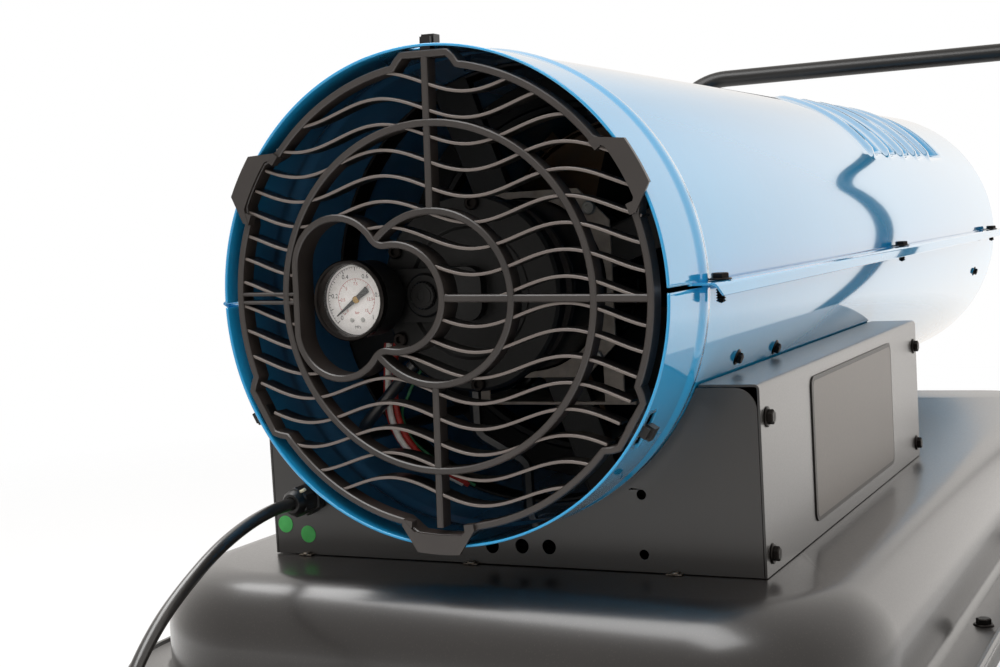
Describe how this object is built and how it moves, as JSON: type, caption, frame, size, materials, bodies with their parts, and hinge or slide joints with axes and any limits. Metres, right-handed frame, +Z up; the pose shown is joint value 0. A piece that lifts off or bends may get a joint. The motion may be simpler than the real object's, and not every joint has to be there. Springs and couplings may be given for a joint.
{
  "type": "forced air heater",
  "caption": "Direct-fired forced air heater: a blue steel shell with an intake grille and pressure gauge, on a sheet cabinet, a pressed fuel tank and a wheeled tube frame with a handle.",
  "frame": {"origin": "on the floor under the middle of the heater's bounding box, measured without the cord", "axes": "+Z up, +Y from the intake grille to the hot air outlet, +X to the right seen from the intake"},
  "size_m": [0.6726, 1.42, 0.6878],
  "materials": {
    "blue_paint": "gloss",
    "black_coat": "satin",
    "tank_coat": "fine speckled satin",
    "black_plastic": "satin",
    "zinc_steel": "dull",
    "bare_steel": "machined",
    "scaled_steel": "heat tinted",
    "cast_metal": "cast",
    "rubber": "matte",
    "tyre_rubber": "matte",
    "dark_screw": "satin",
    "white_card": "matte",
    "ceramic": "glazed",
    "board": "matte",
    "clear_glass": "clear",
    "grey_plate": "satin"
  },
  "bodies": {
    "heater": {"shell_lower": "blue_paint", "shell_upper": "blue_paint", "cabinet_frame": "black_coat", "cover_left": "black_coat", "cover_right": "black_coat", "handle": "black_coat", "wheel_frame": "black_coat", "tank_upper": "tank_coat", "tank_lower": "tank_coat", "intake_grille": "black_plastic", "pump_end_cover": "black_plastic", "switch_housing": "black_plastic", "cable_gland": "black_plastic", "mains_plug": "black_plastic", "cord_tie": "black_plastic", "fuel_level_gauge": "black_plastic", "flame_sensor": "black_plastic", "motor_bracket": "zinc_steel", "fan_shroud": "zinc_steel", "axle": "zinc_steel", "combustion_chamber": "scaled_steel", "chamber_head": "scaled_steel", "outlet_ring": "scaled_steel", "pump_body": "cast_metal", "motor_body": "cast_metal", "nozzle_adapter": "cast_metal", "ignition_transformer": "cast_metal", "air_hose": "rubber", "fuel_hose": "rubber", "motor_wires": "rubber", "power_cord": "rubber", "cord_coil": "rubber", "foot_left": "rubber", "foot_right": "rubber", "gauge_case": "dark_screw", "seam_screw_left_1": "dark_screw", "seam_screw_left_2": "dark_screw", "seam_screw_left_3": "dark_screw", "seam_screw_right_1": "dark_screw", "seam_screw_right_2": "dark_screw", "seam_screw_right_3": "dark_screw", "gauge_dial": "white_card", "igniter": "ceramic", "control_board": "board", "gauge_lens": "clear_glass", "label_plate": "grey_plate"},
    "rotor": {"rotor_shaft": "bare_steel", "fan": "cast_metal", "pump_rotor": "cast_metal"},
    "needle": {"gauge_needle": "dark_screw"},
    "adjuster": {"pressure_screw": "black_plastic"},
    "knob": {"thermostat_knob": "black_plastic"},
    "rocker": {"power_switch": "rubber"},
    "cap": {"fuel_cap": "black_plastic"},
    "drain": {"drain_plug": "zinc_steel"},
    "wheel_left": {"wheel_left": "black_plastic", "tyre_left": "tyre_rubber"},
    "wheel_right": {"wheel_right": "black_plastic", "tyre_right": "tyre_rubber"}
  },
  "joints": [
    {"name": "rotor_spin", "type": "hinge", "parent": "heater", "child": "rotor", "pos_m": [0, -0.5035, 0.455], "axis": [0, 1, 0], "continuous": true},
    {"name": "gauge_needle_turn", "type": "hinge", "parent": "heater", "child": "needle", "pos_m": [-0.0625, -0.5875, 0.455], "axis": [0, 1, 0], "range_deg": [0, 270]},
    {"name": "pressure_screw_turn", "type": "hinge", "parent": "heater", "child": "adjuster", "pos_m": [-0.027, -0.5665, 0.455], "axis": [0, -1, 0], "range_deg": [-360, 360]},
    {"name": "thermostat_knob_turn", "type": "hinge", "parent": "heater", "child": "knob", "pos_m": [-0.1758, -0.4135, 0.343], "axis": [-1, 0, 0], "range_deg": [0, 270]},
    {"name": "power_switch_rock", "type": "hinge", "parent": "heater", "child": "rocker", "pos_m": [-0.1728, -0.3415, 0.343], "axis": [0, -1, 0], "range_deg": [0, 14]},
    {"name": "fuel_cap_lift", "type": "slide", "parent": "heater", "child": "cap", "axis": [0, 0, 1], "range_m": [0, 0.05]},
    {"name": "drain_plug_turn", "type": "hinge", "parent": "heater", "child": "drain", "pos_m": [0.15, -0.5335, 0.133], "axis": [0, 0, -1], "range_deg": [0, 360]},
    {"name": "wheel_left_spin", "type": "hinge", "parent": "heater", "child": "wheel_left", "pos_m": [-0.309, -0.5335, 0.09], "axis": [1, 0, 0], "continuous": true},
    {"name": "wheel_right_spin", "type": "hinge", "parent": "heater", "child": "wheel_right", "pos_m": [0.309, -0.5335, 0.09], "axis": [1, 0, 0], "continuous": true}
  ]
}
